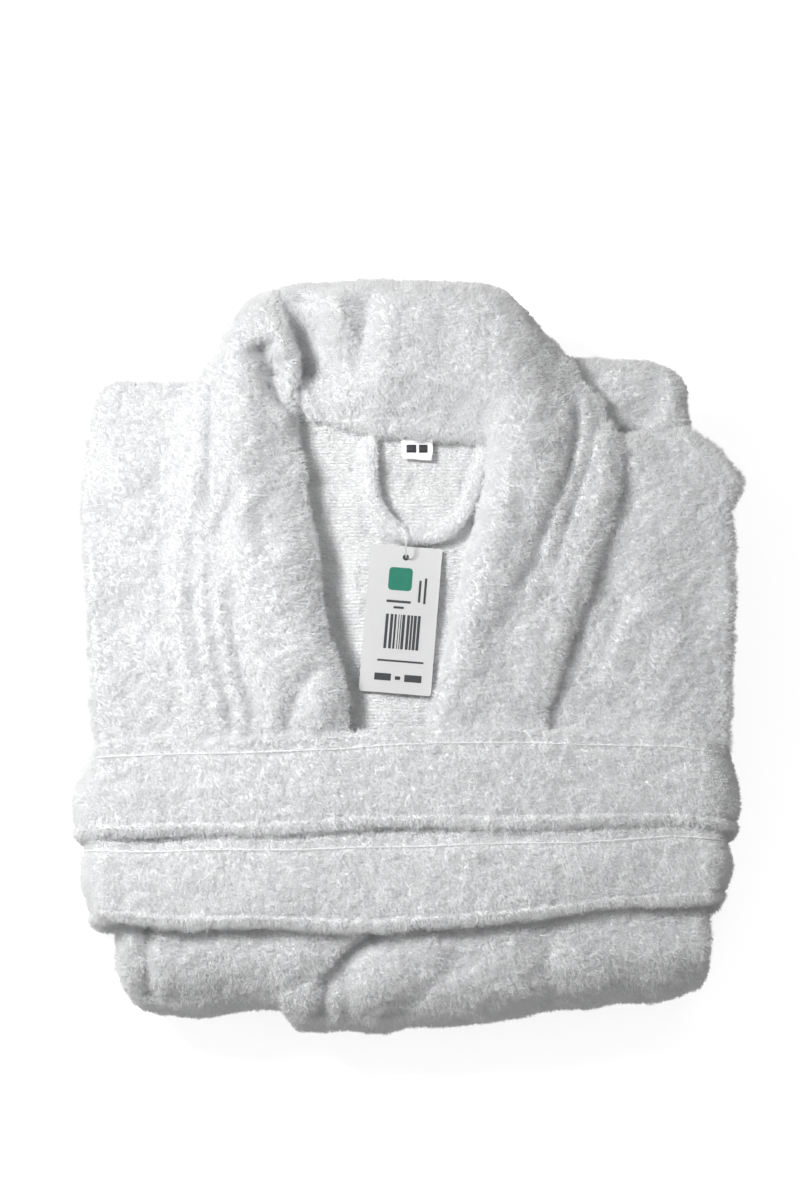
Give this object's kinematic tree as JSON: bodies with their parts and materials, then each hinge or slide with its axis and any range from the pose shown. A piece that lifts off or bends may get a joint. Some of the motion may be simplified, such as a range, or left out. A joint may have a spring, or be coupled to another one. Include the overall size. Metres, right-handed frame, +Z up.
{
  "type": "bathrobe",
  "caption": "Folded terry bathrobe with shawl collar, belt wound twice round it, hanger loop, size label and hang tag.",
  "frame": {"origin": "centre of the outline on the face the robe rests on", "axes": "+X across to the wearer's left, +Y to the collar, +Z up from the table through the layers"},
  "size_m": [0.3646, 0.4139, 0.0998],
  "materials": {
    "terry": "matte",
    "terry_belt": "matte",
    "tape": "matte",
    "label_satin": "satin",
    "tag_card": "matte",
    "clear_plastic": "gloss"
  },
  "bodies": {
    "robe": {"right_front": "terry", "left_front": "terry", "back_panel": "terry", "left_sleeve": "terry", "right_sleeve": "terry", "left_cuff": "terry", "right_cuff": "terry", "right_pocket": "terry", "left_pocket": "terry", "right_belt_loop": "terry", "left_belt_loop": "terry", "collar_back": "terry", "neck_tape": "tape", "care_label": "label_satin"},
    "belt": {"belt": "terry_belt"},
    "right_lapel": {"right_lapel": "terry"},
    "left_lapel": {"left_lapel": "terry"},
    "hanger_loop": {"hanger_loop": "terry"},
    "size_label": {"size_label": "label_satin"},
    "tag_fastener": {"tag_fastener": "clear_plastic"},
    "hang_tag": {"hang_tag": "tag_card"}
  },
  "joints": [
    {"name": "belt_slide_off", "type": "slide", "parent": "robe", "child": "belt", "axis": [0, -1, 0], "range_m": [0, 0.42]},
    {"name": "right_lapel_turn", "type": "hinge", "parent": "robe", "child": "right_lapel", "pos_m": [-0.0334, -0.04, 0.0803], "axis": [-0.1523, 0.9883, 0], "range_deg": [0, 50]},
    {"name": "left_lapel_turn", "type": "hinge", "parent": "robe", "child": "left_lapel", "pos_m": [0.0169, -0.039, 0.0803], "axis": [-0.2213, -0.9752, 0], "range_deg": [0, 50]},
    {"name": "hanger_loop_lift", "type": "hinge", "parent": "robe", "child": "hanger_loop", "pos_m": [0.011, 0.1205, 0.07025], "axis": [-1, 0, 0], "range_deg": [0, 80]},
    {"name": "size_label_flip", "type": "hinge", "parent": "robe", "child": "size_label", "pos_m": [0.0062, 0.1216, 0.06465], "axis": [-1, 0, 0], "range_deg": [0, 80]},
    {"name": "fastener_swing", "type": "hinge", "parent": "hanger_loop", "child": "tag_fastener", "pos_m": [0, 0.07, 0.07025], "axis": [-1, 0, 0], "range_deg": [0, 60]},
    {"name": "hang_tag_swing", "type": "hinge", "parent": "tag_fastener", "child": "hang_tag", "pos_m": [0, 0.0583, 0.0682], "axis": [-1, 0, 0], "range_deg": [0, 22]}
  ]
}
